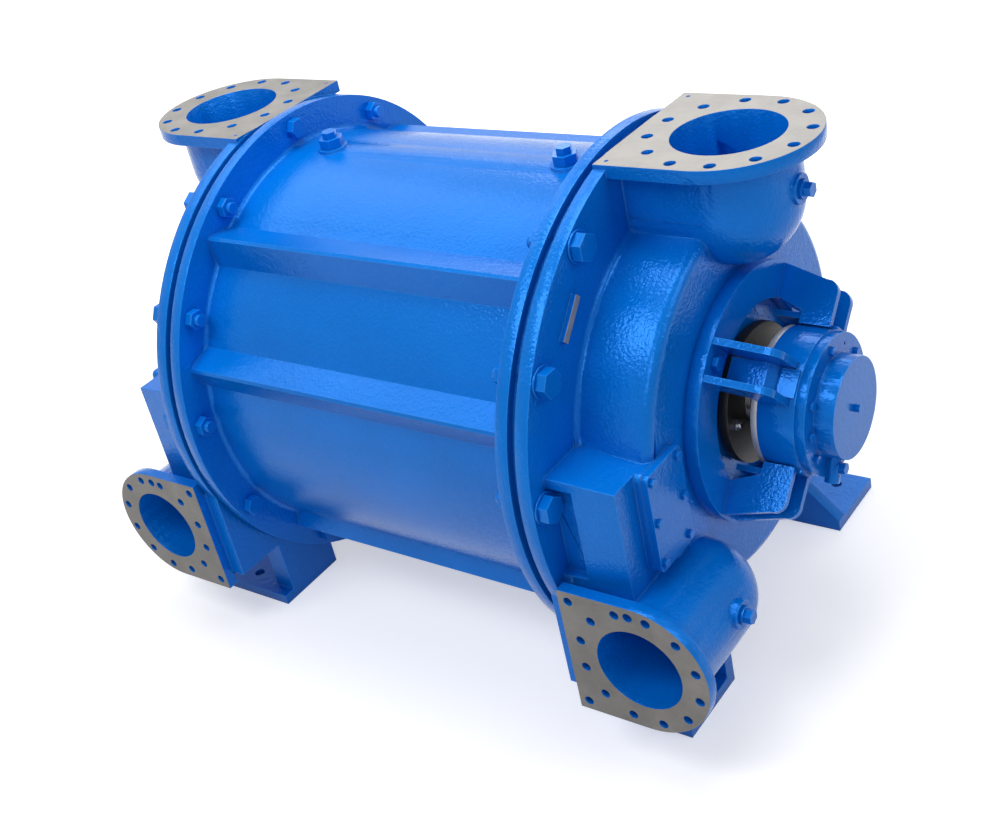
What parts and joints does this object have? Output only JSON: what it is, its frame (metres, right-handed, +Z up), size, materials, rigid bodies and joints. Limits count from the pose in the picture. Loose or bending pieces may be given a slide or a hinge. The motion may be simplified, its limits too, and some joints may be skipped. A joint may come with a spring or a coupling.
{
  "type": "liquid ring vacuum pump",
  "caption": "Two-ended liquid ring vacuum pump with top inlet flanges, forward discharge flanges, hand-hole boxes, bearing brackets and a drive shaft.",
  "frame": {"origin": "on the floor plane at the centre of the four foundation bolt holes", "axes": "+X along the shaft to the non-drive end, +Y to the back, away from the discharge flanges, +Z up towards the inlet flanges"},
  "size_m": [2.218, 1.2579, 1.2838],
  "materials": {
    "blue_paint": "glossy blue enamel sprayed over rough castings",
    "blue_paint_smooth": "glossy blue enamel over machined steel fasteners",
    "ground_iron": "bare ground cast iron",
    "dark_iron": "dark unpainted casting",
    "steel": "turned or ground bare steel",
    "bronze": "cast or turned bronze",
    "gasket": "pressed fibre sheet",
    "packing": "graphited braid",
    "seal_rubber": "black moulded rubber"
  },
  "bodies": {
    "stator": {"body_casing": "blue_paint", "head_nde": "blue_paint", "head_de": "blue_paint", "head_gaskets": "gasket", "port_cone_nde": "dark_iron", "port_cone_de": "dark_iron", "cone_screws": "steel", "flange_bolts": "blue_paint_smooth", "flange_washers": "blue_paint_smooth", "flange_nuts": "blue_paint_smooth", "body_bushings": "blue_paint_smooth", "body_plugs": "blue_paint_smooth", "neck_plugs": "blue_paint_smooth", "discharge_plugs": "blue_paint_smooth", "handhole_gaskets": "gasket", "handhole_cover_nde": "blue_paint", "handhole_cover_de": "blue_paint", "handhole_bolts": "blue_paint_smooth", "bracket_nde": "blue_paint", "bracket_de": "blue_paint", "bracket_bolts": "blue_paint_smooth", "inner_cap_nde": "ground_iron", "inner_cap_de": "ground_iron", "outer_cap_nde": "blue_paint", "outer_cap_de": "blue_paint", "cap_bolts": "blue_paint_smooth", "cap_plug": "blue_paint_smooth", "cap_drains": "blue_paint_smooth", "cap_seal": "seal_rubber", "gland_nde": "dark_iron", "gland_de": "dark_iron", "gland_studs": "steel", "gland_nuts": "steel", "packing_rings": "packing", "lantern_rings": "bronze", "bearing_outer_nde": "steel", "bearing_outer_de": "steel"},
    "rotor": {"shaft": "steel", "drive_key": "steel", "impeller": "bronze", "sleeve_nde": "steel", "sleeve_de": "steel", "slinger_nde": "dark_iron", "slinger_de": "dark_iron", "bearing_inner_nde": "steel", "bearing_inner_de": "steel", "lockwasher_nde": "steel", "lockwasher_de": "steel", "locknut_nde": "steel", "locknut_de": "steel"},
    "roller_set_nde": {"rollers_nde": "steel", "cage_nde": "bronze"},
    "roller_set_de": {"rollers_de": "steel", "cage_de": "bronze"}
  },
  "joints": [
    {"name": "rotor_spin", "type": "hinge", "parent": "stator", "child": "rotor", "pos_m": [0, -0.04, 0.655], "axis": [1, 0, 0], "continuous": true},
    {"name": "roller_set_nde_spin", "type": "hinge", "parent": "stator", "child": "roller_set_nde", "pos_m": [0.894, -0.04, 0.655], "axis": [1, 0, 0], "continuous": true},
    {"name": "roller_set_de_spin", "type": "hinge", "parent": "stator", "child": "roller_set_de", "pos_m": [-0.894, -0.04, 0.655], "axis": [1, 0, 0], "continuous": true}
  ],
  "couplings": [
    {"joint": "roller_set_nde_spin", "follows": "rotor_spin", "ratio": 0.4246},
    {"joint": "roller_set_de_spin", "follows": "rotor_spin", "ratio": 0.4246}
  ]
}
